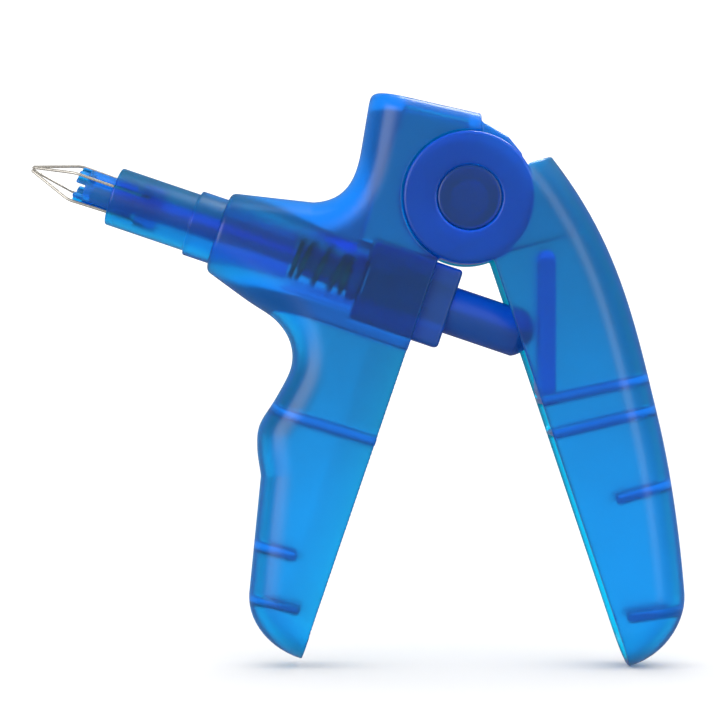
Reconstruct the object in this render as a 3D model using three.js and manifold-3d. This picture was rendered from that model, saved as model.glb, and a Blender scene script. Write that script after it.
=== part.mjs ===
// Orthodontic ligature gun: a moulded pistol body with a rear squeeze lever on a large pivot pin.
// Squeezing the lever pushes a rod and a castellated core along the barrel, and the core spreads
// four bent spring wires at the nozzle. Millimetres. +X runs from the nose to the lever, +Z is up,
// +Y points to the side that the gun lies on. Everything is drawn about the gun's middle plane with
// the pivot at x = z = 0, and the whole group is then moved so that the +Y side face lies at y = 0.

import * as THREE from 'three';
import { mergeVertices } from 'three/addons/utils/BufferGeometryUtils.js';
import Module from 'manifold-3d';

const wasm = await Module();
wasm.setup();

// Driving dimensions
const HALF_WIDTH = 8; // from the middle plane to either side face
const WALL = 1.9;
const EDGE_ROUND = 2.6; // rounding of the moulded outer edges
const FIT_GAP = 0.25; // between pieces that are pressed together
const RUN_GAP = 0.1; // between pieces that turn or slide

// Pivot
const EAR_RADIUS = 12.45;
const EAR_INNER = 6.1; // the ears' inner faces, from the middle plane
const EAR_RECESS_GAP = 0.35;
const TONGUE_RADIUS = 12.2;
const TONGUE_HALF_WIDTH = 5.8;
const PIN_HEAD_RADIUS = 6.1;
const PIN_SHAFT_RADIUS = 5.3;
const PIN_BORE_RADIUS = 3.5;

// Barrel line: it passes this far below the pivot and rises towards the nose
const BARREL_DROP = 20.93;
const BARREL_TILT = THREE.MathUtils.degToRad(18.75);

// Stations along the barrel line, measured towards the nose from the point nearest the pivot
const BARREL_MOUTH = 42.8;
const SKIN_REAR = 14;
const BUSH_REAR = -3.4;
const BUSH_FRONT = 14;
const FLANGE_REAR = BUSH_FRONT + 0.3;
const FLANGE_FRONT = FLANGE_REAR + 2;
const ROD_FRONT = 26.5;
const ROD_FRONT_RADIUS = 4.2; // inside the spring, and clear of the nozzle tube's bore
const NOZZLE_REAR = 28;
const NOZZLE_STEP = 48.1;
const NOZZLE_FRONT = 63.9;
const HOLDER_REAR = 54.5;
const HOLDER_FRONT = 58.6;
const WIRE_ROOT = 57;
const CORE_SHOULDER = 59.6;
const CORE_FRONT = 71.2;
const WIRE_BEND = 71.7;
const WIRE_TIP = 80.3;

// Radii about the barrel line
const MOUTH_RADIUS = 7.75;
const CHAMBER_RADIUS = 6.6;
const BUSH_HALF_HEIGHT = 7.7;
const BUSH_HALF_WIDTH = 5.4;
const ROD_RADIUS = 4.55;
const FLANGE_RADIUS = 6.1;
const STEM_RADIUS = 2.3;
const CORE_RADIUS = 3.4;
const CORE_RECESS_RADIUS = 1.9;
const GROOVE_FLOOR = 2.7;
const GROOVE_WIDTH = 0.9;
const NOTCH_WIDTH = 2.2;
const NOTCH_DEPTH = 1.9;
const COLLAR_RADIUS = 6.35;
const NOZZLE_RADIUS = 5.6;
const NOZZLE_BORE = 4.55;
const WIRE_RADIUS = 0.27;
const WIRE_ROOT_RADIUS = 3.5;
const WIRE_BEND_RADIUS = 3.85;
const WIRE_TIP_RADIUS = 0.48;
const WIRE_FIRST_ANGLE = THREE.MathUtils.degToRad(-26); // from straight up, towards the near side
const SPRING_RADIUS = 5.35;
const SPRING_WIRE_RADIUS = 0.45;
const SPRING_TURNS = 4.5;

// Lever
const LEVER_CLEARANCE_RADIUS = 13.1; // nothing between the ears comes nearer the pivot than this
const CHANNEL_HALF_WIDTH = 6.5;
const WEB_FRONT = 12.8;
const WEB_THICKNESS = 1.8;
const ROD_END_GAP = 0.3;
const RIB_THICKNESS = 1.3;

const PLASTIC = { color: 0x1173c6, roughness: 0.4, metalness: 0 };
const DARK_PLASTIC = { color: 0x173f96, roughness: 0.38, metalness: 0 };
const STEEL = { color: 0xb9b6b0, roughness: 0.3, metalness: 1 };

// Directions of the barrel line: along it towards the nose, and square to it upwards
const along = new THREE.Vector3(-Math.cos(BARREL_TILT), 0, Math.sin(BARREL_TILT));
const upward = new THREE.Vector3(Math.sin(BARREL_TILT), 0, Math.cos(BARREL_TILT));
const foot = upward.clone().multiplyScalar(-BARREL_DROP);

// The barrel frame: local x is square to the line and up, local y runs along it to the nose
const barrelFrame = new THREE.Matrix4()
  .makeBasis(upward, along, new THREE.Vector3(0, -1, 0))
  .setPosition(foot);

function barrelPoint(station, height) {
  const point = foot.clone().addScaledVector(along, station).addScaledVector(upward, height);
  return [point.x, point.z];
}

// Solids
function solid(geometry) {
  const bare = new THREE.BufferGeometry();
  bare.setAttribute('position', geometry.getAttribute('position'));
  if (geometry.index) bare.setIndex(geometry.index);
  const merged = mergeVertices(bare, 1e-4);
  return new wasm.Manifold(new wasm.Mesh({
    numProp: 3,
    vertProperties: new Float32Array(merged.getAttribute('position').array),
    triVerts: new Uint32Array(merged.index.array),
  }));
}

function geometryOf(manifold) {
  const mesh = manifold.getMesh();
  const geometry = new THREE.BufferGeometry();
  geometry.setAttribute('position', new THREE.BufferAttribute(mesh.vertProperties, 3));
  geometry.setIndex(new THREE.BufferAttribute(mesh.triVerts, 1));
  geometry.computeVertexNormals();
  return geometry;
}

function joined(solids) {
  return solids.reduce((whole, piece) => whole.add(piece));
}

function cut(whole, cutters) {
  return cutters.reduce((left, cutter) => left.subtract(cutter), whole);
}

// A side outline (x, z) made into a plate between two y values, with rounded edges if asked
function plate(shape, yLow, yHigh, edgeRound = 0) {
  const geometry = new THREE.ExtrudeGeometry(shape, {
    depth: yHigh - yLow - 2 * edgeRound,
    bevelEnabled: edgeRound > 0,
    bevelThickness: edgeRound,
    bevelSize: edgeRound,
    bevelOffset: -edgeRound,
    bevelSegments: 4,
    curveSegments: 10,
  });
  geometry.rotateX(Math.PI / 2);
  geometry.translate(0, yHigh - edgeRound, 0);
  return solid(geometry);
}

function bothWays(shape, halfWidth, edgeRound = 0) {
  return plate(shape, -halfWidth, halfWidth, edgeRound);
}

function outline(points) {
  return new THREE.Shape(points.map(([x, z]) => new THREE.Vector2(x, z)));
}

function disc(radius, segments = 48) {
  const shape = new THREE.Shape();
  for (let i = 0; i < segments; i += 1) {
    const angle = (2 * Math.PI * i) / segments;
    const x = radius * Math.cos(angle);
    const z = radius * Math.sin(angle);
    if (i === 0) shape.moveTo(x, z);
    else shape.lineTo(x, z);
  }
  return shape;
}

function vectors(points) {
  return points.map(([x, z]) => new THREE.Vector2(x, z));
}

// The same open run of points moved sideways, to its right as it is walked
function offsetRun(points, distance) {
  return points.map((point, i) => {
    const before = points[Math.max(i - 1, 0)];
    const after = points[Math.min(i + 1, points.length - 1)];
    const walk = after.clone().sub(before).normalize();
    return [point.x + walk.y * distance, point.y - walk.x * distance];
  });
}

// A straight bar between two side-view points, from wall to wall
function rib([x0, z0], [x1, z1], halfWidth, thickness = RIB_THICKNESS) {
  const walk = new THREE.Vector2(x1 - x0, z1 - z0).normalize().multiplyScalar(thickness / 2);
  const corners = [
    [x0 - walk.y, z0 + walk.x],
    [x0 + walk.y, z0 - walk.x],
    [x1 + walk.y, z1 - walk.x],
    [x1 - walk.y, z1 + walk.x],
  ];
  return bothWays(outline(corners), halfWidth);
}

// A turned piece about the barrel line, from [radius, station] pairs
function turned(profile, segments = 40) {
  const geometry = new THREE.LatheGeometry(profile.map(([r, s]) => new THREE.Vector2(r, s)), segments);
  return solid(geometry);
}

function inBarrelFrame(manifold) {
  return solid(geometryOf(manifold).applyMatrix4(barrelFrame));
}

// A box in the barrel frame: heights, stations and half width
function barrelBox(heightLow, heightHigh, stationLow, stationHigh, halfWidth) {
  const geometry = new THREE.BoxGeometry(heightHigh - heightLow, stationHigh - stationLow, 2 * halfWidth);
  geometry.translate((heightLow + heightHigh) / 2, (stationLow + stationHigh) / 2, 0);
  return solid(geometry);
}

// A closed skin through rings of points that all have the same number of points
function loft(rings) {
  const count = rings[0].length;
  const positions = rings.flat().flat();
  const triangles = [];
  for (let r = 0; r < rings.length - 1; r += 1) {
    for (let i = 0; i < count; i += 1) {
      const a = r * count + i;
      const b = r * count + ((i + 1) % count);
      triangles.push(a, b + count, b, a, a + count, b + count);
    }
  }
  const last = (rings.length - 1) * count;
  for (let i = 1; i < count - 1; i += 1) {
    triangles.push(0, i, i + 1, last, last + i + 1, last + i);
  }
  const geometry = new THREE.BufferGeometry();
  geometry.setAttribute('position', new THREE.BufferAttribute(new Float32Array(positions), 3));
  geometry.setIndex(triangles);
  return solid(geometry);
}

// The barrel's outer skin: round at the mouth, deeper and squarer towards the hub
function barrelSkin() {
  const ringPoints = 44;
  const rings = [];
  for (const station of [SKIN_REAR, 20, 26, 32, 38, BARREL_MOUTH - 0.8, BARREL_MOUTH]) {
    const back = Math.max(0, BARREL_MOUTH - station);
    const lip = station === BARREL_MOUTH ? 0.5 : 0;
    const top = MOUTH_RADIUS + 0.25 * back - lip;
    const bottom = MOUTH_RADIUS + 0.32 * back - lip;
    const squareness = 2 + 0.0045 * back * back;
    const ring = [];
    for (let i = 0; i < ringPoints; i += 1) {
      const angle = (2 * Math.PI * i) / ringPoints;
      const c = Math.cos(angle);
      const s = Math.sin(angle);
      const height = Math.sign(c) * Math.abs(c) ** (2 / squareness);
      const width = Math.sign(s) * Math.abs(s) ** (2 / squareness);
      const halfWidth = Math.min(HALF_WIDTH + 0.05, MOUTH_RADIUS + 0.04 * back - lip);
      ring.push([height * (height > 0 ? top : bottom), station, width * halfWidth]);
    }
    rings.push(ring);
  }
  return loft(rings);
}

// Side outlines of the front body
const handleTip = [-31.5, -87.0];
const handleTop = [-5.8, -11.4];
const openSide = 4.5; // the blanks run past their open side by this much before it is cut flat

const hubCorner = [-18.4, 20.5];

function hubFront() {
  const run = new THREE.Path();
  run.moveTo(...hubCorner);
  run.lineTo(-20.1, 10.5);
  run.bezierCurveTo(-21, 4.6, -22.6, -0.2, -29.3, -0.5);
  run.lineTo(...barrelPoint(BARREL_MOUTH, MOUTH_RADIUS));
  return run.getPoints(8);
}

function handleFront() {
  const run = new THREE.Path();
  run.moveTo(...barrelPoint(BARREL_MOUTH, -MOUTH_RADIUS));
  run.lineTo(-42.1, -19.0);
  run.splineThru(vectors([
    [-36.6, -22.8],
    [-33.8, -27],
    [-33.6, -31.8],
    [-36.4, -37.5],
    [-39.5, -42.6],
    [-40, -47],
    [-39.3, -52.3],
  ]));
  run.lineTo(-41.5, -74.5);
  run.bezierCurveTo(-41.9, -79.5, -38.2, -84.9, ...handleTip);
  return run.getPoints(6);
}

function frontBlank() {
  const nose = [barrelPoint(BARREL_MOUTH + 5, MOUTH_RADIUS), barrelPoint(BARREL_MOUTH + 5, -MOUTH_RADIUS)];
  const points = [
    [16, 12.65],
    ...hubFront().map((p) => [p.x, p.y]),
    ...nose,
    ...handleFront().map((p) => [p.x, p.y]),
    [handleTip[0] + openSide, handleTip[1] - 1.2],
    [handleTop[0] + openSide, handleTop[1]],
    [16, handleTop[1]],
  ];
  return outline(points);
}

function frontBody() {
  const kept = outline([
    [-120, -120],
    [handleTip[0] - 11.3, -120],
    handleTop,
    [2.3, -8],
    [2.3, 40],
    [-120, 40],
  ]);
  const cornerRound = outline([
    [hubCorner[0] - 2, hubCorner[1] - 2.2],
    [hubCorner[0] - 0.25, hubCorner[1] - 1.7],
    [hubCorner[0] + 0.3, hubCorner[1] - 0.6],
    [hubCorner[0] + 1.5, hubCorner[1] - 0.3],
    [hubCorner[0] + 1.5, hubCorner[1] + 2],
    [hubCorner[0] - 2, hubCorner[1] + 2],
  ]);
  const shell = bothWays(frontBlank(), HALF_WIDTH, EDGE_ROUND)
    .intersect(bothWays(kept, HALF_WIDTH + 1))
    .subtract(bothWays(cornerRound, HALF_WIDTH + 1))
    .subtract(barrelTrim());

  const hood = new THREE.Shape();
  hood.moveTo(-12, -3);
  hood.absarc(0, 0, TONGUE_RADIUS, Math.PI * 1.25, Math.PI * 2.18, false);
  hood.lineTo(9.9, 8.4);
  hood.quadraticCurveTo(8.2, 12.1, 2.3, 14.5);
  hood.lineTo(-8, 14.5);
  const tongue = bothWays(hood, TONGUE_HALF_WIDTH);

  const recess = disc(EAR_RADIUS + EAR_RECESS_GAP, 64);
  const recesses = [
    plate(recess, TONGUE_HALF_WIDTH, HALF_WIDTH + 1),
    plate(recess, -HALF_WIDTH - 1, -TONGUE_HALF_WIDTH),
  ];

  const body = cut(joined([shell, tongue]), [...recesses, ...frontCavities()]);
  const boss = bothWays(disc(PIN_SHAFT_RADIUS + 2), TONGUE_HALF_WIDTH);
  return cut(body.add(boss), [bothWays(disc(PIN_SHAFT_RADIUS + RUN_GAP), HALF_WIDTH)]);
}

// What has to go from round the barrel to leave its round skin
function barrelTrim() {
  const zone = outline([
    barrelPoint(60, 18),
    barrelPoint(26.5, 18),
    barrelPoint(26.3, 11.5),
    barrelPoint(22, 8),
    barrelPoint(20.5, 0),
    barrelPoint(22, -8),
    barrelPoint(26.3, -13),
    barrelPoint(26.5, -16),
    barrelPoint(60, -16),
  ]);
  return bothWays(zone, HALF_WIDTH + 1).subtract(inBarrelFrame(barrelSkin()));
}

function frontCavities() {
  const gripHalfWidth = HALF_WIDTH - WALL;
  const barrelFloor = -BUSH_HALF_HEIGHT - 2; // underside of the floor below the bush
  const grip = handleFront().filter((p) => p.y < -26);
  const gripPocket = outline([
    barrelPoint(-12, barrelFloor),
    barrelPoint(21, barrelFloor),
    ...offsetRun(grip, -WALL),
    [0, -92],
  ]);
  const gripRibs = [
    rib([-40, -39], [-10, -48], HALF_WIDTH),
    rib([-44, -64.1], [-33.2, -67.1], HALF_WIDTH),
    rib([-44, -74.5], [-32.5, -77.3], HALF_WIDTH),
  ];

  const hub = offsetRun(hubFront(), -WALL).slice(1).filter(([x]) => x > -26);
  const hubPocket = outline([
    [0.4, 13.9],
    [hubCorner[0] + WALL + 0.3, hubCorner[1] - WALL - 0.7],
    ...hub,
    barrelPoint(16, BUSH_HALF_HEIGHT - 1),
    barrelPoint(2, BUSH_HALF_HEIGHT - 1),
    [-1, -9.5],
  ]);
  const tongueReach = bothWays(disc(EAR_RADIUS + EAR_RECESS_GAP + WALL), HALF_WIDTH);
  const narrow = TONGUE_HALF_WIDTH - WALL;
  const bushPocket = barrelBox(
    -BUSH_HALF_HEIGHT - FIT_GAP,
    BUSH_HALF_HEIGHT + FIT_GAP,
    -20,
    BUSH_FRONT + 0.2,
    BUSH_HALF_WIDTH + FIT_GAP,
  );
  const chamber = turned([
    [0, BUSH_FRONT - 0.5],
    [CHAMBER_RADIUS, BUSH_FRONT - 0.5],
    [CHAMBER_RADIUS, BARREL_MOUTH + 2],
    [0, BARREL_MOUTH + 2],
  ]);
  return [
    cut(bothWays(gripPocket, gripHalfWidth), gripRibs),
    bothWays(hubPocket, narrow),
    bothWays(hubPocket, gripHalfWidth).subtract(tongueReach),
    bothWays(disc(TONGUE_RADIUS - WALL), narrow),
    inBarrelFrame(bushPocket),
    inBarrelFrame(chamber),
  ];
}

// Side outlines of the rear lever
const leverTip = [30.3, -88.4];
const leverTop = [4.6, -11.8];

function leverBack() {
  const run = new THREE.Path();
  run.moveTo(13.6, 11.6);
  run.lineTo(16.2, 7.5);
  run.bezierCurveTo(28.6, -8.5, 31.6, -23, 36.5, -43.7);
  run.quadraticCurveTo(39.6, -58.5, 40.95, -74.6);
  run.bezierCurveTo(41.3, -79.5, 37.6, -86.4, ...leverTip);
  return run.getPoints(9);
}

function rearLever() {
  const back = leverBack();
  const blank = outline([
    [0, 11.8],
    ...back.map((p) => [p.x, p.y]),
    [leverTip[0] - openSide, leverTip[1] - 0.9],
    [leverTop[0] - openSide, leverTop[1]],
    [0, 0],
  ]);
  const kept = outline([
    leverTop,
    [3, 0],
    [11.3, 6.5],
    [16.2, 8.25],
    [70, 8.25],
    [70, -120],
    [leverTip[0] + 10.6, -120],
  ]);
  const casing = bothWays(blank, HALF_WIDTH, EDGE_ROUND).intersect(bothWays(kept, HALF_WIDTH + 1));
  const ears = bothWays(disc(EAR_RADIUS, 64), HALF_WIDTH, 0.5);

  const pocket = outline([
    [6, 14],
    ...offsetRun(back, WALL),
    [leverTip[0] - 12, leverTip[1] - 2],
    [-6, -12],
  ]);
  const earStep = outline([[-20, -20], [5.5, -10.4], [17.7, -7.4], [28, -4.8], [60, -4.8], [60, -120], [-20, -120]]);
  const webAndRibs = [
    rib([WEB_FRONT + WEB_THICKNESS / 2, -9.5], [WEB_FRONT + WEB_THICKNESS / 2, -38], HALF_WIDTH, WEB_THICKNESS),
    rib([13.4, -38.2], [36, -33.4], HALF_WIDTH),
    rib([16.2, -44.2], [40, -38.6], HALF_WIDTH),
    rib([28.4, -56.4], [42, -52.4], HALF_WIDTH),
    rib([30.5, -78.6], [44, -76.6], HALF_WIDTH),
  ];
  const channel = cut(bothWays(pocket, CHANNEL_HALF_WIDTH), webAndRibs);
  const cavities = [
    channel.intersect(bothWays(earStep, HALF_WIDTH)).subtract(bothWays(disc(EAR_RADIUS), HALF_WIDTH)),
    cut(bothWays(pocket, EAR_INNER), webAndRibs),
    bothWays(disc(LEVER_CLEARANCE_RADIUS, 64), EAR_INNER),
    bothWays(disc(PIN_HEAD_RADIUS + RUN_GAP), HALF_WIDTH + 1),
  ];
  return cut(joined([casing, ears]), cavities);
}

// The pin and its cap, turned about Y
function turnedOnPivot(profile) {
  return new THREE.LatheGeometry(profile.map(([r, y]) => new THREE.Vector2(r, y)), 48);
}

function pivotPin() {
  const shaftEnd = EAR_INNER - 0.3;
  return turnedOnPivot([
    [0, -HALF_WIDTH],
    [PIN_HEAD_RADIUS - 0.4, -HALF_WIDTH],
    [PIN_HEAD_RADIUS, -HALF_WIDTH + 0.4],
    [PIN_HEAD_RADIUS, -EAR_INNER],
    [PIN_SHAFT_RADIUS, -EAR_INNER],
    [PIN_SHAFT_RADIUS, shaftEnd],
    [PIN_BORE_RADIUS, shaftEnd],
    [PIN_BORE_RADIUS, -EAR_INNER],
    [0, -EAR_INNER],
  ]);
}

function pivotCap() {
  const spigotRadius = PIN_BORE_RADIUS - RUN_GAP;
  return turnedOnPivot([
    [0, -2],
    [spigotRadius, -2],
    [spigotRadius, EAR_INNER],
    [PIN_HEAD_RADIUS, EAR_INNER],
    [PIN_HEAD_RADIUS, HALF_WIDTH - 0.4],
    [PIN_HEAD_RADIUS - 0.4, HALF_WIDTH],
    [0, HALF_WIDTH],
  ]);
}

// Pieces on the barrel line
function guideBush() {
  const block = barrelBox(-BUSH_HALF_HEIGHT, BUSH_HALF_HEIGHT, BUSH_REAR, BUSH_FRONT, BUSH_HALF_WIDTH);
  const bore = turned([
    [0, BUSH_REAR - 1],
    [ROD_RADIUS + RUN_GAP, BUSH_REAR - 1],
    [ROD_RADIUS + RUN_GAP, BUSH_FRONT + 1],
    [0, BUSH_FRONT + 1],
  ]);
  return block.subtract(bore);
}

// The rod's round rear end rests against the lever's push web
function pushRod() {
  const endRadius = 5;
  const centreX = WEB_FRONT - ROD_END_GAP - endRadius;
  const centreStation = (foot.x - centreX) / Math.cos(BARREL_TILT);
  const dome = [];
  const steps = 7;
  const rimAngle = Math.asin(ROD_RADIUS / endRadius);
  for (let i = 0; i <= steps; i += 1) {
    const angle = (rimAngle * i) / steps;
    dome.push([endRadius * Math.sin(angle), centreStation - endRadius * Math.cos(angle)]);
  }
  const socketRadius = STEM_RADIUS + 0.2;
  return turned([
    ...dome,
    [ROD_RADIUS, FLANGE_REAR],
    [FLANGE_RADIUS, FLANGE_REAR],
    [FLANGE_RADIUS, FLANGE_FRONT],
    [ROD_FRONT_RADIUS, FLANGE_FRONT],
    [ROD_FRONT_RADIUS, ROD_FRONT],
    [socketRadius, ROD_FRONT],
    [socketRadius, ROD_FRONT - 10],
    [0, ROD_FRONT - 10],
  ], 32);
}

function turnAboutBarrel(manifold, angle) {
  return solid(geometryOf(manifold).rotateY(angle));
}

// The core: four grooves for the wires, and four notches between them at its front
function plungerCore() {
  const blank = turned([
    [0, ROD_FRONT - 9.7],
    [STEM_RADIUS, ROD_FRONT - 9.7],
    [STEM_RADIUS, CORE_SHOULDER],
    [CORE_RADIUS, CORE_SHOULDER],
    [CORE_RADIUS, CORE_FRONT - 0.2],
    [CORE_RADIUS - 0.2, CORE_FRONT],
    [CORE_RECESS_RADIUS, CORE_FRONT],
    [CORE_RECESS_RADIUS, CORE_FRONT - 3.2],
    [0, CORE_FRONT - 3.2],
  ]);
  const groove = barrelBox(GROOVE_FLOOR, 6, CORE_SHOULDER - 1, CORE_FRONT + 1, GROOVE_WIDTH / 2);
  const notch = barrelBox(0.5, 6, CORE_FRONT - NOTCH_DEPTH, CORE_FRONT + 1, NOTCH_WIDTH / 2);
  const cutters = [];
  for (let i = 0; i < 4; i += 1) {
    const angle = -WIRE_FIRST_ANGLE - (Math.PI / 2) * i;
    cutters.push(turnAboutBarrel(groove, angle));
    cutters.push(turnAboutBarrel(notch, angle + Math.PI / 4));
  }
  return cut(blank, cutters);
}

function nozzleTube() {
  return turned([
    [NOZZLE_BORE, NOZZLE_REAR],
    [COLLAR_RADIUS, NOZZLE_REAR],
    [COLLAR_RADIUS, NOZZLE_STEP - 0.4],
    [COLLAR_RADIUS - 0.4, NOZZLE_STEP],
    [NOZZLE_RADIUS, NOZZLE_STEP],
    [NOZZLE_RADIUS, NOZZLE_FRONT - 0.9],
    [NOZZLE_RADIUS - 0.25, NOZZLE_FRONT - 0.25],
    [NOZZLE_RADIUS - 0.8, NOZZLE_FRONT],
    [NOZZLE_BORE, NOZZLE_FRONT],
    [NOZZLE_BORE, NOZZLE_REAR],
  ]);
}

// A ring with four blind sockets that hold the wires' rear ends
function wireHolder() {
  const ring = turned([
    [STEM_RADIUS + 0.3, HOLDER_REAR],
    [NOZZLE_BORE - FIT_GAP, HOLDER_REAR],
    [NOZZLE_BORE - FIT_GAP, HOLDER_FRONT],
    [STEM_RADIUS + 0.3, HOLDER_FRONT],
    [STEM_RADIUS + 0.3, HOLDER_REAR],
  ]);
  const sockets = [];
  for (let i = 0; i < 4; i += 1) {
    const angle = WIRE_FIRST_ANGLE + (Math.PI / 2) * i;
    const socket = new THREE.CylinderGeometry(0.42, 0.42, 4, 12);
    socket.translate(WIRE_ROOT_RADIUS * Math.cos(angle), WIRE_ROOT + 1.8, WIRE_ROOT_RADIUS * Math.sin(angle));
    sockets.push(solid(socket));
  }
  return cut(ring, sockets);
}

// One wire: straight along its groove, bent at the core's front, then straight to the point
function springWire(angle) {
  const at = (radius, station) => new THREE.Vector3(
    radius * Math.cos(angle),
    station,
    radius * Math.sin(angle),
  );
  const bendReach = 0.9;
  const slope = (WIRE_BEND_RADIUS - WIRE_TIP_RADIUS) / (WIRE_TIP - WIRE_BEND);
  const rise = (WIRE_BEND_RADIUS - WIRE_ROOT_RADIUS) / (WIRE_BEND - WIRE_ROOT);
  const bendStart = at(WIRE_BEND_RADIUS - rise * bendReach, WIRE_BEND - bendReach);
  const bendEnd = at(WIRE_BEND_RADIUS - slope * bendReach, WIRE_BEND + bendReach);
  const path = new THREE.CurvePath();
  path.add(new THREE.LineCurve3(at(WIRE_ROOT_RADIUS, WIRE_ROOT), bendStart));
  path.add(new THREE.QuadraticBezierCurve3(bendStart, at(WIRE_BEND_RADIUS, WIRE_BEND), bendEnd));
  path.add(new THREE.LineCurve3(bendEnd, at(WIRE_TIP_RADIUS, WIRE_TIP)));
  return new THREE.ExtrudeGeometry(disc(WIRE_RADIUS, 8), { extrudePath: path, steps: 34 });
}

// The spring's coil line, closer at both ends where the last turn lies flat
class CoilLine extends THREE.Curve {
  getPoint(t, target = new THREE.Vector3()) {
    const rear = FLANGE_FRONT + 0.25 + SPRING_WIRE_RADIUS;
    const front = NOZZLE_REAR - 0.25 - SPRING_WIRE_RADIUS;
    const flat = 1 / SPRING_TURNS; // the share of the turns in each flat end
    const flatRise = 2 * SPRING_WIRE_RADIUS + 0.15;
    const open = front - rear - 2 * flatRise;
    let station = rear + (flatRise * t) / flat;
    if (t > flat) station = rear + flatRise + (open * (t - flat)) / (1 - 2 * flat);
    if (t > 1 - flat) station = front - (flatRise * (1 - t)) / flat;
    const angle = 2 * Math.PI * SPRING_TURNS * t;
    return target.set(SPRING_RADIUS * Math.cos(angle), station, SPRING_RADIUS * Math.sin(angle));
  }
}

function returnSpring() {
  return new THREE.ExtrudeGeometry(disc(SPRING_WIRE_RADIUS, 6), { extrudePath: new CoilLine(), steps: 110 });
}

// The assembly
function piece(name, shape, finish) {
  const geometry = shape.isBufferGeometry ? shape : geometryOf(shape);
  const mesh = new THREE.Mesh(geometry, new THREE.MeshStandardMaterial(finish));
  mesh.name = name;
  return mesh;
}

const gun = new THREE.Group();
gun.position.y = -HALF_WIDTH;
gun.add(
  piece('front_body', frontBody(), PLASTIC),
  piece('rear_lever', rearLever(), PLASTIC),
  piece('pivot_pin', pivotPin(), DARK_PLASTIC),
  piece('pivot_cap', pivotCap(), DARK_PLASTIC),
);

const barrelLine = new THREE.Group();
barrelLine.applyMatrix4(barrelFrame);
barrelLine.add(
  piece('nozzle_tube', nozzleTube(), PLASTIC),
  piece('wire_holder', wireHolder(), DARK_PLASTIC),
  piece('guide_bush', guideBush(), DARK_PLASTIC),
  piece('push_rod', pushRod(), DARK_PLASTIC),
  piece('plunger_core', plungerCore(), DARK_PLASTIC),
  piece('return_spring', returnSpring(), STEEL),
);
for (let i = 0; i < 4; i += 1) {
  const angle = WIRE_FIRST_ANGLE + (Math.PI / 2) * i;
  barrelLine.add(piece(`wire_${i + 1}`, springWire(angle), STEEL));
}
gun.add(barrelLine);

export default gun;
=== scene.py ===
"""Looks of the orthodontic ligature gun: frosted translucent blue mouldings round a darker plunger, with
steel wires at the nozzle. The mouldings are made as distance fields, so that their edges and inner corners
have real moulded radii, and each field is turned into a mesh. Sizes are millimetres until a mesh is made."""

import math

import bmesh
import bpy
import numpy as np
import openvdb
from mathutils import Matrix, Vector


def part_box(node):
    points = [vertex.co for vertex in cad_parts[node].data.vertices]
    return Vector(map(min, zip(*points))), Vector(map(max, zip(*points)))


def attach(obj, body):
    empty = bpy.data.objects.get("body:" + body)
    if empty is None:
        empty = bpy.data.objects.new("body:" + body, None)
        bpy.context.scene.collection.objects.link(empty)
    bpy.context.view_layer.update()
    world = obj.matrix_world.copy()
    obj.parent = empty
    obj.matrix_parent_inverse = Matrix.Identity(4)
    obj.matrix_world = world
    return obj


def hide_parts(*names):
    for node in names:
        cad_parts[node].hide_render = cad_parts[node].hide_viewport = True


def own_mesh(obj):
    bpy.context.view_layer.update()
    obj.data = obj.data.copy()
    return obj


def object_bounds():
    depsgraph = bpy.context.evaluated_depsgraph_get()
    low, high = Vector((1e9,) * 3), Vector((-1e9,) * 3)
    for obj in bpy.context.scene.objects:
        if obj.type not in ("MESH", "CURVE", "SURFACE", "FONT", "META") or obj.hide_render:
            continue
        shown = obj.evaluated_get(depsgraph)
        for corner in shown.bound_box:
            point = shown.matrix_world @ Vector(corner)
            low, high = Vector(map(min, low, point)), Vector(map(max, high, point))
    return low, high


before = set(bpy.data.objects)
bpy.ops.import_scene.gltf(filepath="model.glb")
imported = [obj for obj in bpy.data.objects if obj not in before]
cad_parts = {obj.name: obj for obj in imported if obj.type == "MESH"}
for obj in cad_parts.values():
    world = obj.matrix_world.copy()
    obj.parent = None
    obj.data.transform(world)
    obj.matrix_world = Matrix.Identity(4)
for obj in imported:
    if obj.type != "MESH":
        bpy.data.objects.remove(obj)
cad_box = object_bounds()

MM = 0.001
body_low, body_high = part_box("front_body")
MIDDLE_Y = (body_low.y + body_high.y) / 2 / MM

# Driving sizes of the mouldings. Edges, fillets, gaps and wall drafts suit the looks; the rest are as packed.
HALF_WIDTH = (body_high.y - body_low.y) / 2 / MM
WALL = 1.9
EDGE_DRAFT = 0.9
EDGE_DRAFT_REACH = 7.0
SOFT_EDGE = 7.0      # rounding of the mouldings' front, back and end edges
ROOF_EDGE = 1.9
CRISP = 0.3          # rounding of cut edges
INNER_FILLET = 0.6
EAR_RADIUS = 12.45
EAR_INNER = 6.1
EAR_GAP = 0.2
TONGUE_RADIUS = 12.2
TONGUE_HALF_WIDTH = 5.8
PIN_HEAD_RADIUS = 6.1
PIN_SHAFT_RADIUS = 5.3
PIN_BORE_RADIUS = 3.5
RUN_GAP = 0.1
FIT_GAP = 0.25
LEVER_CLEARANCE_RADIUS = 13.1
RIB = 1.3

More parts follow.
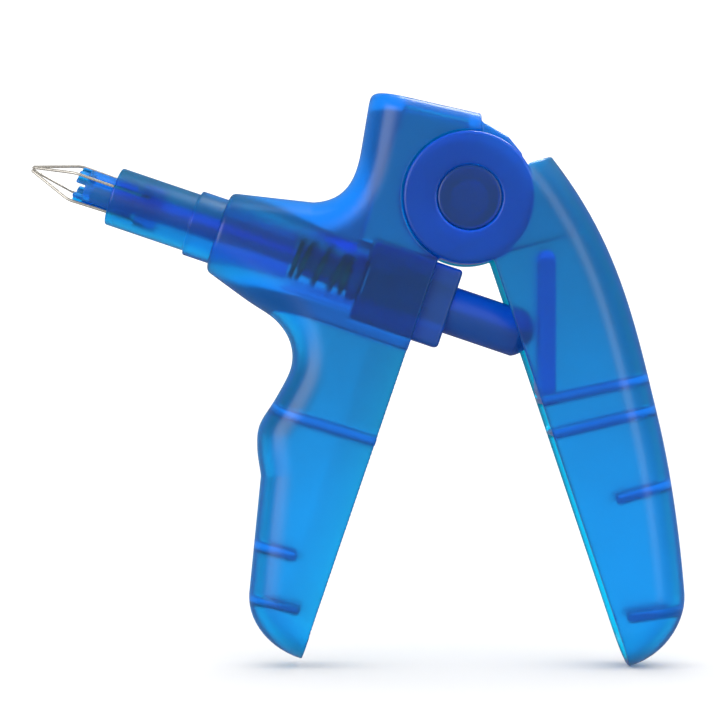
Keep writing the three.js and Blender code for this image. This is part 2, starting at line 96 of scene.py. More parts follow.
# The barrel line: a tilt, a drop below the pivot, and stations towards the nose
BARREL_TILT = math.radians(18.75)
BARREL_DROP = 20.93
BARREL_MOUTH = 42.8
MOUTH_RADIUS = 7.75
CHAMBER_RADIUS = 6.6
BUSH_HALF_HEIGHT = 7.7
BUSH_HALF_WIDTH = 5.4
BUSH_REAR = -3.4
BUSH_FRONT = 14.0
ROD_RADIUS = 4.55
ROD_FRONT = 26.5
ROD_FRONT_RADIUS = 4.2
FLANGE_REAR = 14.3
FLANGE_FRONT = 16.3
FLANGE_RADIUS = 6.1
STEM_RADIUS = 2.3
COLLAR_RADIUS = 6.35
NOZZLE_REAR = 28.0
NOZZLE_STEP = 48.1
NOZZLE_FRONT = 63.9
NOZZLE_RADIUS = 5.6
NOZZLE_BORE = 4.55
CORE_SHOULDER = 59.6
CORE_FRONT = 71.2
CORE_RADIUS = 3.4
CORE_RECESS = 1.9          # the recess's radius
CORE_RECESS_DEPTH = 3.2
GROOVE_FLOOR = 2.7
GROOVE_WIDTH = 0.9
NOTCH_WIDTH = 2.2
NOTCH_DEPTH = 1.9
WIRE_RADIUS = 0.27
WIRE_FIRST_ANGLE = math.radians(-26)   # from straight up, towards the near side
WIRE_ROOT = 57.0
WIRE_ROOT_RADIUS = 3.5
WIRE_BEND = 71.7
WIRE_BEND_RADIUS = 3.85
WIRE_TIP = 80.3
WIRE_TIP_RADIUS = 0.48
SPRING_RADIUS = 5.35
SPRING_WIRE = 0.45         # the wire's radius
SPRING_TURNS = 4.5
SPRING_END_GAP = 0.25
ROD_END_GAP = 0.3
ROD_END_RADIUS = 5.0
ROD_SOCKET_DEPTH = 10.0

# Side-view corners, as (x, z) from the pivot
HANDLE_TIP = (-31.5, -87.0)
HANDLE_TOP = (-5.8, -11.4)
LEVER_TIP = (30.3, -88.4)
LEVER_TOP = (4.6, -11.8)
ROOF_REAR = (2.3, 15.8)
ROOF_RUN = 19.9
ROOF_FALL = 4.5
OVERRUN = 12.0    # how far a blank runs past a side that is cut flat afterwards
FAR = 120         # well past the gun on every side

ALONG = np.array([-math.cos(BARREL_TILT), 0.0, math.sin(BARREL_TILT)])
UPWARD = np.array([math.sin(BARREL_TILT), 0.0, math.cos(BARREL_TILT)])
FOOT = -BARREL_DROP * UPWARD


def barrel_point(station, height):
    point = FOOT + station * ALONG + height * UPWARD
    return (point[0], point[2])


# ---- camera, light and floor -------------------------------------------------------------------------

VIEW_CENTRE = Vector((-20.5, MIDDLE_Y, -30.4)) * MM
VIEW_DISTANCE = 430 * MM
VIEW_WIDTH = 136.8 * MM   # what the picture spans at the gun's middle plane
BACKDROP = 1.3
MIRRORED_BACKDROP = 0.3   # the backdrop's reflection in glossy surfaces is toned down
FLOOR_REACH = 3.0         # metres from the pivot to each edge of the floor


def make_camera():
    data = bpy.data.cameras.new("camera")
    data.sensor_width = 36
    data.lens = data.sensor_width * VIEW_DISTANCE / VIEW_WIDTH
    camera = bpy.data.objects.new("camera", data)
    camera.location = VIEW_CENTRE - Vector((0, VIEW_DISTANCE, 0))
    camera.rotation_euler = (math.pi / 2, 0, 0)
    bpy.context.scene.collection.objects.link(camera)
    bpy.context.scene.camera = camera


def soft_box(name, place, width, height, brightness):
    """A soft light that faces the gun, placed and sized in metres."""
    data = bpy.data.lights.new(name, "AREA")
    data.shape = "RECTANGLE"
    data.size = width
    data.size_y = height
    data.energy = brightness * math.pi * width * height
    light = bpy.data.objects.new(name, data)
    light.location = place
    light.rotation_mode = "QUATERNION"
    light.rotation_quaternion = (VIEW_CENTRE - Vector(place)).to_track_quat("-Z", "Y")
    bpy.context.scene.collection.objects.link(light)
    return light


def make_backdrop():
    """White all round, with a weaker reflection in glossy surfaces."""
    world = bpy.data.worlds.new("studio")
    world.use_nodes = True
    nodes, links = world.node_tree.nodes, world.node_tree.links
    background = nodes["Background"]
    background.inputs["Color"].default_value = (1, 1, 1, 1)
    rays = nodes.new("ShaderNodeLightPath")
    strength = nodes.new("ShaderNodeMapRange")
    strength.inputs["To Min"].default_value = BACKDROP
    strength.inputs["To Max"].default_value = MIRRORED_BACKDROP
    links.new(rays.outputs["Is Glossy Ray"], strength.inputs["Value"])
    links.new(strength.outputs["Result"], background.inputs["Strength"])
    bpy.context.scene.world = world
    bpy.context.scene.view_settings.view_transform = "Standard"


def make_floor():
    mesh = bpy.data.meshes.new("floor")
    level = cad_box[0].z
    corners = [(x * FLOOR_REACH, y * FLOOR_REACH, level) for x, y in ((-1, -1), (1, -1), (1, 1), (-1, 1))]
    mesh.from_pydata(corners, [], [(0, 1, 2, 3)])
    floor = bpy.data.objects.new("floor", mesh)
    bpy.context.scene.collection.objects.link(floor)
    material = bpy.data.materials.new("pale_floor")
    material.use_nodes = True
    shader = material.node_tree.nodes["Principled BSDF"]
    shader.inputs["Base Color"].default_value = (0.97, 0.97, 0.97, 1)
    shader.inputs["Roughness"].default_value = 0.8
    mesh.materials.append(material)
    floor.visible_glossy = False
    return floor


def make_studio():
    make_backdrop()
    lights = [
        soft_box("overhead", (0.0, -0.1, 0.7), 0.5, 0.3, 1),
        soft_box("roof_glow", (0.055, 0.01, 0.14), 0.08, 0.1, 20),
        soft_box("left_front", (-0.48, -0.68, 0.1), 0.5, 0.6, 5),
        soft_box("right_front", (0.42, -0.66, 0.15), 0.3, 0.6, 3.5),
    ]
    unlit = bpy.data.collections.new("unlit")
    unlit.objects.link(make_floor())
    unlit.collection_objects[0].light_linking.link_state = "EXCLUDE"
    for light in lights:
        light.light_linking.receiver_collection = unlit
        light.visible_transmission = False


# ---- outlines ----------------------------------------------------------------------------------------


def bezier(p0, p1, p2, p3, count=14):
    t = np.linspace(0, 1, count)[:, None]
    p0, p1, p2, p3 = (np.array(p, float) for p in (p0, p1, p2, p3))
    return (1 - t) ** 3 * p0 + 3 * (1 - t) ** 2 * t * p1 + 3 * (1 - t) * t**2 * p2 + t**3 * p3


def smooth_run(points, count=8):
    """A Catmull-Rom curve through the points."""
    p = np.array(points, float)
    padded = np.vstack([2 * p[0] - p[1], p, 2 * p[-1] - p[-2]])
    run = [p[0]]
    for a, b, c, d in zip(padded, padded[1:], padded[2:], padded[3:]):
        for t in np.linspace(0, 1, count + 1)[1:]:
            square = (2 * a - 5 * b + 4 * c - d) * t**2
            cube = (3 * b - a - 3 * c + d) * t**3
            run.append(0.5 * (2 * b + (c - a) * t + square + cube))
    return np.array(run)


def front_outline():
    hub = [(-19.1, 34.0), (-18.75, 18.6), (-20.1, 10.5)]
    throat = bezier((-20.1, 10.5), (-21.0, 4.6), (-22.6, -0.2), (-29.3, -0.5))
    nose = [
        barrel_point(BARREL_MOUTH, MOUTH_RADIUS),
        barrel_point(BARREL_MOUTH + OVERRUN, MOUTH_RADIUS),
        barrel_point(BARREL_MOUTH + OVERRUN, -MOUTH_RADIUS),
    ]
    grip = smooth_run([
        barrel_point(BARREL_MOUTH, -MOUTH_RADIUS),
        (-42.1, -19.0),
        (-36.6, -22.8),
        (-33.8, -27.0),
        (-33.6, -31.8),
        (-36.4, -37.5),
        (-39.5, -42.6),
        (-40.0, -47.0),
        (-39.3, -52.3),
    ])
    end = bezier((-41.5, -74.5), (-41.9, -79.5), (-38.2, -84.9), HANDLE_TIP)
    beyond = [
        (HANDLE_TIP[0] + OVERRUN, -89.5),
        (HANDLE_TOP[0] + OVERRUN, HANDLE_TOP[1]),
        (20, HANDLE_TOP[1]),
        (20, 34),
    ]
    return np.vstack([hub[:2], throat, nose, grip, end, beyond])


def lever_outline():
    back = bezier((16.2, 7.5), (28.6, -8.5), (31.6, -23.0), (36.5, -43.7), 24)
    low = bezier((36.5, -43.7), (38.9, -54.5), (40.3, -66.0), (40.95, -74.6))
    end = bezier((40.95, -74.6), (41.3, -79.5), (37.6, -86.4), LEVER_TIP)
    beyond = [(LEVER_TIP[0] - OVERRUN, -91.0), (-12, -11.8), (-12, 22), (5.4, 22.8)]
    return np.vstack([back, low[1:], end[1:], beyond])


# ---- distance fields: negative inside, in millimetres ------------------------------------------------


class Field:
    """A block of space cut into cubes, with its x, y, z and the same places told along the barrel line."""

    def __init__(self, low, high, cube):
        self.low = np.array(low, float)
        self.cube = cube
        x, y, z = (np.arange(a, b + cube, cube, dtype=np.float32) for a, b in zip(low, high))
        self.x = x[:, None, None]
        self.y = y[None, :, None]
        self.z = z[None, None, :]
        self.across = np.abs(self.y)
        self.from_pivot = np.hypot(self.x, self.z)
        self.station = (self.x - FOOT[0]) * ALONG[0] + (self.z - FOOT[2]) * ALONG[2]
        self.height = (self.x - FOOT[0]) * UPWARD[0] + (self.z - FOOT[2]) * UPWARD[2]
        self.from_barrel = np.sqrt(self.height**2 + self.y**2)

    def outline(self, points):
        """Distance to a closed side outline."""
        points = np.array(points, np.float32)
        nearest = np.full((self.x.size, 1, self.z.size), 1e9, np.float32)
        inside = np.zeros(nearest.shape, bool)
        for (ax, az), (bx, bz) in zip(points, np.roll(points, -1, axis=0)):
            ex, ez = bx - ax, bz - az
            length = ex * ex + ez * ez
            if length < 1e-9:
                continue
            px, pz = self.x - ax, self.z - az
            t = np.clip((px * ex + pz * ez) / length, 0, 1)
            nearest = np.minimum(nearest, (px - t * ex) ** 2 + (pz - t * ez) ** 2)
            crosses = (az > self.z) != (bz > self.z)
            if ez != 0:
                inside ^= crosses & (self.x < ax + ex * (self.z - az) / ez)
        return np.sqrt(nearest) * np.where(inside, -1, 1)

    def plate(self, outline, half_width, edge):
        """A side outline made into a plate with rounded edges."""
        a = outline + edge
        b = self.across - half_width + edge
        return np.minimum(np.maximum(a, b), 0) + np.hypot(np.maximum(a, 0), np.maximum(b, 0)) - edge

    def bar(self, start, end, thickness=RIB):
        """A straight rib between two side-view points, from wall to wall."""
        (ax, az), (bx, bz) = start, end
        ex, ez = bx - ax, bz - az
        length = math.hypot(ex, ez)
        t = np.clip(((self.x - ax) * ex + (self.z - az) * ez) / length**2, 0, 1)
        return np.hypot(self.x - ax - t * ex, self.z - az - t * ez) - thickness / 2


def both(a, b, fillet=0.0):
    """What lies inside both fields, with its new edge rounded."""
    if fillet == 0:
        return np.maximum(a, b)
    mix = np.maximum(fillet - np.abs(a - b), 0) / fillet
    return np.maximum(a, b) + mix**2 * fillet * 0.25


def either(a, b, fillet=0.0):
    return -both(-a, -b, fillet)


def without(a, b, fillet=0.0):
    return both(a, -b, fillet)


def thinned_wall(kept):
    """The wall's thickness, drawn down near the open edge, which is the only cut that the hollow meets."""
    return WALL - EDGE_DRAFT * np.clip(1 + kept / EDGE_DRAFT_REACH, 0, 1)


def mesh_of(name, distances, field, place):
    """The field's surface as a mesh object."""
    grid = openvdb.FloatGrid(background=3.0)
    grid.copyFromArray(np.ascontiguousarray(distances, np.float32))
    points, triangles, quads = grid.convertToPolygons(isovalue=0.0, adaptivity=0.0)
    points = np.array(points, float) * field.cube + field.low
    return solid(name, points.tolist(), quads.tolist() + triangles.tolist(), place)


# ---- meshes made ring by ring ------------------------------------------------------------------------

AT_PIVOT = Matrix.Translation((0, MIDDLE_Y * MM, 0)) @ Matrix.Scale(MM, 4)
# Along the barrel: x is up, y is the station and z is towards the near side
AT_BARREL = Matrix((
    (UPWARD[0], ALONG[0], 0, FOOT[0]),
    (0, 0, -1, MIDDLE_Y),
    (UPWARD[2], ALONG[2], 0, FOOT[2]),
    (0, 0, 0, 1 / MM),
)) * MM


def solid(name, points, faces, place):
    """A mesh object from points in millimetres, moved to its place."""
    mesh = bpy.data.meshes.new(name)
    mesh.from_pydata(points, [], faces)
    mesh.transform(place)
    mesh.shade_smooth()
    piece = bpy.data.objects.new(name, mesh)
    bpy.context.scene.collection.objects.link(piece)
    return piece


def softened(profile, radius, steps=4):
    """A closed profile with its corners rounded, and loops near them that keep the flats flat."""
    corners = np.array(profile, float)
    run = []
    for before, corner, after in zip(np.roll(corners, 1, 0), corners, np.roll(corners, -1, 0)):
        to_before, to_after = before - corner, after - corner
        reach = min(radius, 0.4 * np.hypot(*to_before), 0.4 * np.hypot(*to_after))
        to_before /= np.hypot(*to_before)
        to_after /= np.hypot(*to_after)
        if corner[0] <= 1e-6:
            run.append(corner)
            continue
        start, end = corner + to_before * reach, corner + to_after * reach
        run.append(start + to_before * reach * 0.4)
        for t in np.linspace(0, 1, steps + 1):
            run.append((1 - t) ** 2 * start + 2 * (1 - t) * t * corner + t**2 * end)
        run.append(end + to_after * reach * 0.4)
    return run


def turned(name, profile, place, radius=0.25, sides=96):
    """A closed profile of (radius, height) points turned about the y axis."""
    run = softened(profile, radius)
    points, faces, rings = [], [], []
    for r, y in run:
        if r <= 1e-6:
            rings.append([len(points)] * sides)
            points.append((0, y, 0))
            continue
        rings.append(list(range(len(points), len(points) + sides)))
        turn = [2 * math.pi * i / sides for i in range(sides)]
        points.extend((r * math.cos(a), y, r * math.sin(a)) for a in turn)
    for near, far in zip(rings, rings[1:] + rings[:1]):
        for i in range(sides):
            j = (i + 1) % sides
            corners = list(dict.fromkeys((near[i], near[j], far[j], far[i])))
            if len(corners) > 2:
                faces.append(corners)
    return outward(solid(name, points, faces, place))


def drawn(name, path, radius, place, sides=14):
    """Round wire along a path of points, with rounded ends."""
    path = np.array(path, float)
    heading = np.gradient(path, axis=0)
    heading /= np.linalg.norm(heading, axis=1)[:, None]
    side = np.cross(heading[0], (0.3, 0.2, 0.9))
    rings = []
    for centre, ahead in zip(path, heading):
        side = side - ahead * side.dot(ahead)
        side /= np.linalg.norm(side)
        rings.append((centre, ahead, side, np.cross(ahead, side), radius))
    ends = []
    for index, sign in ((0, -1), (-1, 1)):
        centre, ahead, side, other, _ = rings[index]
        cap = [
            (centre + sign * ahead * radius * math.sin(a), ahead, side, other, radius * math.cos(a))
            for a in np.radians([30, 60, 82])
        ]
        ends.append(cap)
    rings = ends[0][::-1] + rings + ends[1]
    points = [
        centre + r * (math.cos(a) * side + math.sin(a) * other)
        for centre, _, side, other, r in rings
        for a in np.linspace(0, 2 * math.pi, sides, endpoint=False)
    ]
    faces = [
        (k * sides + i, k * sides + (i + 1) % sides, (k + 1) * sides + (i + 1) % sides, (k + 1) * sides + i)
        for k in range(len(rings) - 1)
        for i in range(sides)
    ]
    faces.append(tuple(range(sides)))
    faces.append(tuple(range(len(points) - sides, len(points))))
    return outward(solid(name, [tuple(p) for p in points], faces, place))


def outward(piece):
    """Turns every face to look out of the solid."""
    shape = bmesh.new()
    shape.from_mesh(piece.data)
    bmesh.ops.recalc_face_normals(shape, faces=shape.faces)
    if shape.calc_volume(signed=True) < 0:
        bmesh.ops.reverse_faces(shape, faces=shape.faces)
    shape.to_mesh(piece.data)
    shape.free()
    return piece


# ---- front body --------------------------------------------------------------------------------------

BODY_CUBE = 0.28
HUB_CAVITY_HALF_WIDTH = 4.5
ROOF_CORNER = 2.6     # rounding where the roof meets the front
BARREL_FLOOR = -BUSH_HALF_HEIGHT - 2
FRONT_RIBS = (        # from, to and thickness, in the side view
    ((-40, -39), (-10, -48), RIB),
    ((-44, -64.1), (-33.2, -67.1), RIB),
    ((-44, -74.5), (-32.5, -77.3), RIB * 0.7),
)


def tongue_outline():
    """Round below and behind, with a hood that reaches forward under the roof."""
    angles = np.linspace(-0.75 * math.pi, 0.18 * math.pi, 30)
    round_side = [(TONGUE_RADIUS * math.cos(a), TONGUE_RADIUS * math.sin(a)) for a in angles]
    hood = [(9.9, 8.4), (7.4, 11.5), (ROOF_REAR[0], 14.5), (-8, 14.5)]
    return [(-12, -3)] + round_side + hood


def front_body():
    f = Field((-52.5, -9, -90), (14, 9, 23), BODY_CUBE)
    toward_mouth = np.clip((f.station - 16) / 20, 0, 1)
    half_width = HALF_WIDTH - (HALF_WIDTH - MOUTH_RADIUS) * toward_mouth
    edge = SOFT_EDGE + (MOUTH_RADIUS - SOFT_EDGE) * toward_mouth
    blank = f.plate(f.outline(front_outline()), half_width, edge)

    roof_length = math.hypot(ROOF_RUN, ROOF_FALL)
    above_roof = ((f.z - ROOF_REAR[1]) * ROOF_RUN + (f.x - ROOF_REAR[0]) * ROOF_FALL) / roof_length
    roof_bevel = (above_roof + f.across - HALF_WIDTH + ROOF_EDGE) * math.sqrt(0.5)
    roof = both(np.maximum(above_roof, f.across - HALF_WIDTH), roof_bevel, 0.5)
    kept = f.outline([
        (-FAR, -FAR),
        (HANDLE_TIP[0] - 11.3, -FAR),
        HANDLE_TOP,
        (ROOF_REAR[0], -8),
        (ROOF_REAR[0], 40),
        (-FAR, 40),
    ])
    shell = both(blank, roof, ROOF_CORNER)
    shell = both(shell, f.station - BARREL_MOUTH, 1.0)
    shell = both(shell, kept, CRISP)

    tongue = f.plate(f.outline(tongue_outline()), TONGUE_HALF_WIDTH, 0.5)
    body = either(shell, tongue, CRISP)
    recess = np.maximum(f.from_pivot - EAR_RADIUS - EAR_GAP, TONGUE_HALF_WIDTH - f.across)
    body = without(body, recess, CRISP)

    inside = blank + thinned_wall(kept)
    grip = both(inside, f.height - BARREL_FLOOR, INNER_FILLET)
    for start, end, thickness in FRONT_RIBS:
        grip = without(grip, f.bar(start, end, thickness), INNER_FILLET)

    hub = both(inside, above_roof + WALL, INNER_FILLET)
    hub = both(hub, np.maximum(BUSH_HALF_HEIGHT - 1 - f.height, f.station - 17))
    hub = both(hub, f.x)
    hub = both(hub, f.across - HUB_CAVITY_HALF_WIDTH, INNER_FILLET)
    hub = both(hub, EAR_RADIUS + EAR_GAP - f.from_pivot, INNER_FILLET)

    bush = np.maximum(np.abs(f.height) - BUSH_HALF_HEIGHT - FIT_GAP, f.across - BUSH_HALF_WIDTH - FIT_GAP)
    bush = np.maximum(bush, f.station - BUSH_FRONT - 0.2)
    chamber = np.maximum(f.from_barrel - CHAMBER_RADIUS, BUSH_FRONT - 0.5 - f.station)
    for hollow in (grip, hub, bush, chamber):
        body = without(body, hollow, 0.2)
    body = without(body, f.from_pivot - PIN_SHAFT_RADIUS - RUN_GAP)
    return mesh_of("front_body_shell", body, f, AT_PIVOT)


# ---- rear lever --------------------------------------------------------------------------------------

CHANNEL_HALF_WIDTH = 6.5
WEB_FRONT = 12.8
WEB = 1.8
WEB_HALF_WIDTH = 5.2
WEB_SPREAD = 0.9      # half of what the web gains in thickness here, all of it at the back
LEVER_RIBS = (        # from and to, in the side view
    ((13.4, -38.2), (36, -33.4)),
    ((16.2, -44.2), (40, -38.6)),
    ((28.4, -56.4), (42, -52.4)),
    ((30.5, -78.6), (44, -76.6)),
)
EAR_STEP = (5.5, -10.4)   # where the ears' inner step starts
EAR_STEP_RUN = 12.2
EAR_STEP_RISE = 3.0


def rear_lever():
    f = Field((-13.5, -9, -91), (43, 9, 14), BODY_CUBE)
    side = f.outline(lever_outline())
    blank = f.plate(side, HALF_WIDTH, SOFT_EDGE)
    kept = f.outline([
        LEVER_TOP,
        (3, 0),
        (11.3, 6.5),
        (16.2, 8.25),
        (FAR, 8.25),
        (FAR, -FAR),
        (LEVER_TIP[0] + 10.6, -FAR),
    ])
    casing = both(blank, kept, CRISP)
    ears = f.plate(f.from_pivot - EAR_RADIUS, HALF_WIDTH, 0.4)
    lever = either(casing, ears)

    middle = WEB_FRONT + WEB / 2 + WEB_SPREAD
    upright = f.bar((middle, -11.5), (middle, -36), WEB + 2 * WEB_SPREAD)
    ribs = both(upright, f.across - WEB_HALF_WIDTH, 1.5)
    for start, end in LEVER_RIBS:
        ribs = np.minimum(ribs, f.bar(start, end))
    inner_outline = side + thinned_wall(kept)
    inside = f.plate(inner_outline, EAR_INNER, SOFT_EDGE - WALL)
    step_length = math.hypot(EAR_STEP_RUN, EAR_STEP_RISE)
    above_step = ((f.z - EAR_STEP[1]) * EAR_STEP_RUN - (f.x - EAR_STEP[0]) * EAR_STEP_RISE) / step_length
    wide = f.plate(inner_outline, CHANNEL_HALF_WIDTH, SOFT_EDGE - WALL)
    wide = both(np.maximum(wide, EAR_RADIUS - f.from_pivot), above_step)
    channel = either(inside, wide, CRISP)
    channel = without(channel, ribs, INNER_FILLET)
    lever = without(lever, channel, 0.2)
    between_ears = np.maximum(f.from_pivot - LEVER_CLEARANCE_RADIUS, f.across - EAR_INNER)
    lever = without(lever, between_ears)
    lever = without(lever, f.from_pivot - PIN_HEAD_RADIUS - RUN_GAP)
    return mesh_of("rear_lever_shell", lever, f, AT_PIVOT)


# ---- pin, tube, rod, core, bush, spring and wires ----------------------------------------------------

PIN_EDGE = 0.5


def pivot_pin():
    shaft_end = EAR_INNER - 0.3
    return turned("pivot_pin_head", [
        (0, -HALF_WIDTH),
        (PIN_HEAD_RADIUS, -HALF_WIDTH),
        (PIN_HEAD_RADIUS, -EAR_INNER),
        (PIN_SHAFT_RADIUS, -EAR_INNER),
        (PIN_SHAFT_RADIUS, shaft_end),
        (PIN_BORE_RADIUS, shaft_end),
        (PIN_BORE_RADIUS, -EAR_INNER),
        (0, -EAR_INNER),
    ], AT_PIVOT, PIN_EDGE)


def pivot_cap():
    spigot = PIN_BORE_RADIUS - RUN_GAP
    return turned("pivot_cap_disc", [
        (0, -2),
        (spigot, -2),
        (spigot, EAR_INNER),
        (PIN_HEAD_RADIUS, EAR_INNER),
        (PIN_HEAD_RADIUS, HALF_WIDTH),
        (0, HALF_WIDTH),
    ], AT_PIVOT, PIN_EDGE)


def nozzle_tube():
    return turned("nozzle_moulding", [
        (NOZZLE_BORE, NOZZLE_REAR),
        (COLLAR_RADIUS, NOZZLE_REAR),
        (COLLAR_RADIUS, NOZZLE_STEP),
        (NOZZLE_RADIUS, NOZZLE_STEP),
        (NOZZLE_RADIUS, NOZZLE_FRONT),
        (NOZZLE_BORE, NOZZLE_FRONT),
    ], AT_BARREL, 0.6)


def push_rod():
    centre = (FOOT[0] - (WEB_FRONT - ROD_END_GAP - ROD_END_RADIUS)) / math.cos(BARREL_TILT)
    rim = math.asin(ROD_RADIUS / ROD_END_RADIUS)
    dome = [
        (ROD_END_RADIUS * math.sin(a), centre - ROD_END_RADIUS * math.cos(a)) for a in np.linspace(0, rim, 12)
    ]
    socket = STEM_RADIUS + 0.2
    return turned("push_rod_shaft", dome + [
        (ROD_RADIUS, FLANGE_REAR),
        (FLANGE_RADIUS, FLANGE_REAR),
        (FLANGE_RADIUS, FLANGE_FRONT),
        (ROD_FRONT_RADIUS, FLANGE_FRONT),
        (ROD_FRONT_RADIUS, ROD_FRONT),
        (socket, ROD_FRONT),
        (socket, ROD_FRONT - ROD_SOCKET_DEPTH),
        (0, ROD_FRONT - ROD_SOCKET_DEPTH),
    ], AT_BARREL, 0.3)


def guide_bush():
    f = Field((-8.2, BUSH_REAR - 0.5, -5.9), (8.2, BUSH_FRONT + 0.5, 5.9), 0.2)
    low = np.abs(f.x) - BUSH_HALF_HEIGHT
    ends = np.abs(f.y - (BUSH_REAR + BUSH_FRONT) / 2) - (BUSH_FRONT - BUSH_REAR) / 2
    block = both(both(low, np.abs(f.z) - BUSH_HALF_WIDTH, 0.8), ends, 0.8)
    bore = np.hypot(f.x, f.z) - ROD_RADIUS - RUN_GAP
    return mesh_of("guide_bush_block", without(block, bore, 0.6), f, AT_BARREL)


def plunger_core():
    cube = 0.12
    f = Field((-3.7, ROD_FRONT - ROD_SOCKET_DEPTH, -3.7), (3.7, CORE_FRONT + 0.4, 3.7), cube)
    radius = np.hypot(f.x, f.z)
    stem = np.maximum(radius - STEM_RADIUS, f.y - CORE_SHOULDER - 1)
    head = both(radius - CORE_RADIUS, CORE_SHOULDER - f.y, 0.5)
    core = either(stem, head, 0.3)
    core = both(core, f.y - CORE_FRONT, 0.5)
    core = both(core, ROD_FRONT - ROD_SOCKET_DEPTH + 0.3 - f.y, 0.5)
    core = without(core, np.maximum(radius - CORE_RECESS, CORE_FRONT - CORE_RECESS_DEPTH - f.y), 0.25)
    for i in range(4):
        turn = WIRE_FIRST_ANGLE + i * math.pi / 2
        for angle, floor, rear, width in (
            (turn, GROOVE_FLOOR, CORE_SHOULDER - 1, GROOVE_WIDTH),
            (turn + math.pi / 4, 0.5, CORE_FRONT - NOTCH_DEPTH, NOTCH_WIDTH),
        ):
            reach = f.x * math.cos(angle) + f.z * math.sin(angle)
            sideways = np.abs(f.z * math.cos(angle) - f.x * math.sin(angle))
            slot = np.maximum(np.maximum(sideways - width / 2, floor - reach), rear - f.y)
            core = without(core, slot, 0.25)
    return mesh_of("plunger_core_moulding", core, f, AT_BARREL)


def around(radius, station, angle):
    return (radius * math.cos(angle), station, radius * math.sin(angle))


def spring_wire(index):
    """Straight along its groove, bent at the core's front, then straight to the point."""
    angle = WIRE_FIRST_ANGLE + index * math.pi / 2
    reach = 0.9
    slope = (WIRE_BEND_RADIUS - WIRE_TIP_RADIUS) / (WIRE_TIP - WIRE_BEND)
    rise = (WIRE_BEND_RADIUS - WIRE_ROOT_RADIUS) / (WIRE_BEND - WIRE_ROOT)
    start = np.array(around(WIRE_BEND_RADIUS - rise * reach, WIRE_BEND - reach, angle))
    corner = np.array(around(WIRE_BEND_RADIUS, WIRE_BEND, angle))
    end = np.array(around(WIRE_BEND_RADIUS - slope * reach, WIRE_BEND + reach, angle))
    root = np.array(around(WIRE_ROOT_RADIUS, WIRE_ROOT, angle))
    tip = np.array(around(WIRE_TIP_RADIUS, WIRE_TIP - WIRE_RADIUS, angle))
    path = [root + (start - root) * t for t in np.linspace(0, 1, 20)]
    path += [
        (1 - t) ** 2 * start + 2 * (1 - t) * t * corner + t**2 * end for t in np.linspace(0, 1, 12)[1:]
    ]
    path += [end + (tip - end) * t for t in np.linspace(0, 1, 14)[1:]]
    return drawn(f"wire_{index + 1}_steel", path, WIRE_RADIUS, AT_BARREL)


def return_spring():
    rear = FLANGE_FRONT + SPRING_END_GAP + SPRING_WIRE
    front = NOZZLE_REAR - SPRING_END_GAP - SPRING_WIRE
    flat = 1 / SPRING_TURNS
    flat_rise = 2 * SPRING_WIRE + 0.15
    path = []
    for t in np.linspace(0, 1, 420):
        station = np.interp(t, [0, flat, 1 - flat, 1], [rear, rear + flat_rise, front - flat_rise, front])
        path.append(around(SPRING_RADIUS, station, 2 * math.pi * SPRING_TURNS * t))
    return drawn("return_spring_coil", path, SPRING_WIRE, AT_BARREL)


# ---- materials ---------------------------------------------------------------------------------------


IOR = 1.4
CLOUD_SCALE = 60       # noise cells per metre: slow drift in the moulding's colour
GRAIN_SCALE = 2600     # fine frosting
DRAWING_SCALE = 900    # uneven sheen of drawn wire


def noise(nodes, links, scale, detail):
    """Noise fixed to the object, so that it moves with it."""
    place = nodes.new("ShaderNodeTexCoord")
    texture = nodes.new("ShaderNodeTexNoise")
    texture.inputs["Scale"].default_value = scale
    texture.inputs["Detail"].default_value = detail
    links.new(place.outputs["Object"], texture.inputs["Vector"])
    return texture.outputs["Fac"]


def mottle(nodes, links, pattern, colour, darkest):
    """Base colour that runs from a darker shade to the full colour."""
    ramp = nodes.new("ShaderNodeValToRGB")
    dark, full = ramp.color_ramp.elements
    dark.position = 0.3
    full.position = 0.7
    dark.color = (*[c * darkest for c in colour], 1)
    full.color = (*colour, 1)
    links.new(pattern, ramp.inputs["Fac"])
    links.new(ramp.outputs["Color"], nodes["Principled BSDF"].inputs["Base Color"])


def vary_roughness(nodes, links, pattern, low, high):
    span = nodes.new("ShaderNodeMapRange")
    span.inputs["To Min"].default_value = low
    span.inputs["To Max"].default_value = high
    links.new(pattern, span.inputs["Value"])
    links.new(span.outputs["Result"], nodes["Principled BSDF"].inputs["Roughness"])


def plastic(name, colour, transmission, roughness, wall):
    """Frosted translucent plastic; wall is the share of each colour that passes through one wall."""
    material = bpy.data.materials.new(name)
    material.use_nodes = True
    nodes, links = material.node_tree.nodes, material.node_tree.links
    shader = nodes["Principled BSDF"]
    shader.inputs["IOR"].default_value = IOR
    shader.inputs["Transmission Weight"].default_value = transmission
    mottle(nodes, links, noise(nodes, links, CLOUD_SCALE, 3), colour, 0.93)

    grain = noise(nodes, links, GRAIN_SCALE, 2)
    vary_roughness(nodes, links, grain, roughness - 0.04, roughness + 0.06)
    bump = nodes.new("ShaderNodeBump")
    bump.inputs["Strength"].default_value = 0.06
    bump.inputs["Distance"].default_value = 0.00004
    links.new(grain, bump.inputs["Height"])
    links.new(bump.outputs["Normal"], shader.inputs["Normal"])

    loss = [-math.log(share) / (WALL * MM) for share in wall]
    dye = nodes.new("ShaderNodeVolumeAbsorption")
    dye.inputs["Color"].default_value = (*[1 - one / max(loss) for one in loss], 1)
    dye.inputs["Density"].default_value = max(loss)
    links.new(dye.outputs["Volume"], nodes["Material Output"].inputs["Volume"])
    return material


def steel(name, colour, roughness):
    material = bpy.data.materials.new(name)
    material.use_nodes = True
    nodes, links = material.node_tree.nodes, material.node_tree.links
    nodes["Principled BSDF"].inputs["Metallic"].default_value = 0.7
    drawing = noise(nodes, links, DRAWING_SCALE, 4)
    mottle(nodes, links, drawing, colour, 0.75)
    vary_roughness(nodes, links, drawing, roughness - 0.06, roughness + 0.1)
    return material


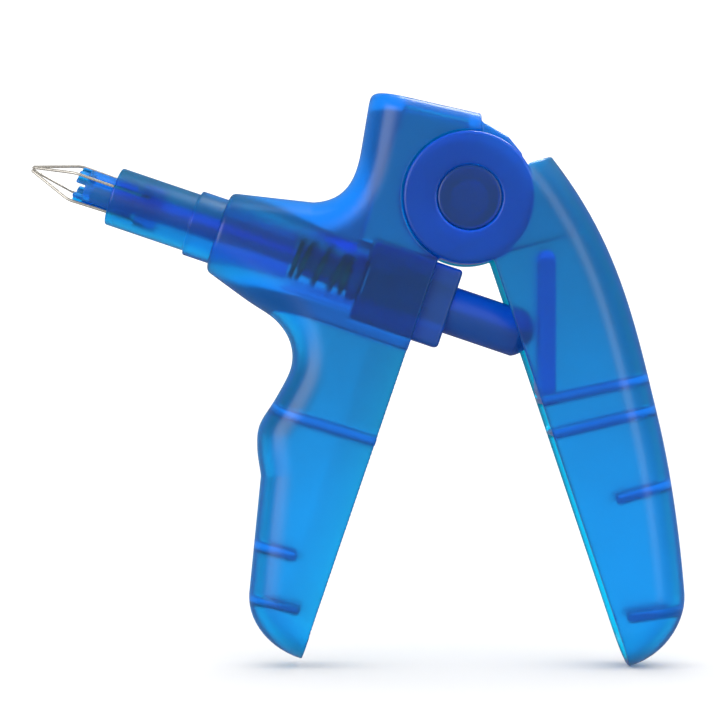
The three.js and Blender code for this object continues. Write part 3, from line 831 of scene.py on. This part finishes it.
def dress(piece, material):
    piece.data.materials.clear()
    piece.data.materials.append(material)


make_camera()
make_studio()

SURFACE = (0.005, 0.66, 0.99)
NOZZLE_SURFACE = (0.005, 0.62, 0.98)
CORE_SURFACE = (0.005, 0.45, 0.95)
DEEP_SURFACE = (0.005, 0.2, 0.72)
DYE = (0.05, 0.86, 0.995)
CORE_DYE = (0.05, 0.7, 0.95)
DEEP_DYE = (0.05, 0.66, 0.9)
body_blue = plastic("body_blue", SURFACE, 0.99, 0.3, DYE)
nozzle_blue = plastic("nozzle_blue", NOZZLE_SURFACE, 0.99, 0.3, DYE)
core_blue = plastic("core_blue", CORE_SURFACE, 0.9, 0.3, CORE_DYE)
pin_blue = plastic("pin_blue", DEEP_SURFACE, 0.9, 0.3, DEEP_DYE)
plunger_blue = plastic("plunger_blue", DEEP_SURFACE, 0.85, 0.35, DEEP_DYE)
spring_steel = steel("spring_steel", (0.12, 0.12, 0.13), 0.3)
wire_steel = steel("wire_steel", (0.5, 0.47, 0.42), 0.25)

PIECES = (
    (front_body, "front_body", "frame", "body_plastic", body_blue),
    (rear_lever, "rear_lever", "lever", "body_plastic", body_blue),
    (pivot_pin, "pivot_pin", "lever", "pin_plastic", pin_blue),
    (pivot_cap, "pivot_cap", "lever", "pin_plastic", pin_blue),
    (nozzle_tube, "nozzle_tube", "frame", "nozzle_plastic", nozzle_blue),
    (guide_bush, "guide_bush", "frame", "plunger_plastic", plunger_blue),
    (push_rod, "push_rod", "plunger", "plunger_plastic", plunger_blue),
    (plunger_core, "plunger_core", "plunger", "plunger_plastic", core_blue),
    (return_spring, "return_spring", "frame", "spring_steel", spring_steel),
)


def place_piece(piece, node, body, material):
    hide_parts(node)
    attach(piece, body)
    dress(piece, material)
    return piece


for make, node, body, slot, material in PIECES:
    piece = place_piece(make(), node, body, material)
    if node == "return_spring":
        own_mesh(piece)

for index in range(4):
    name = f"wire_{index + 1}"
    place_piece(spring_wire(index), name, name, wire_steel)

dress(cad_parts["wire_holder"], nozzle_blue)
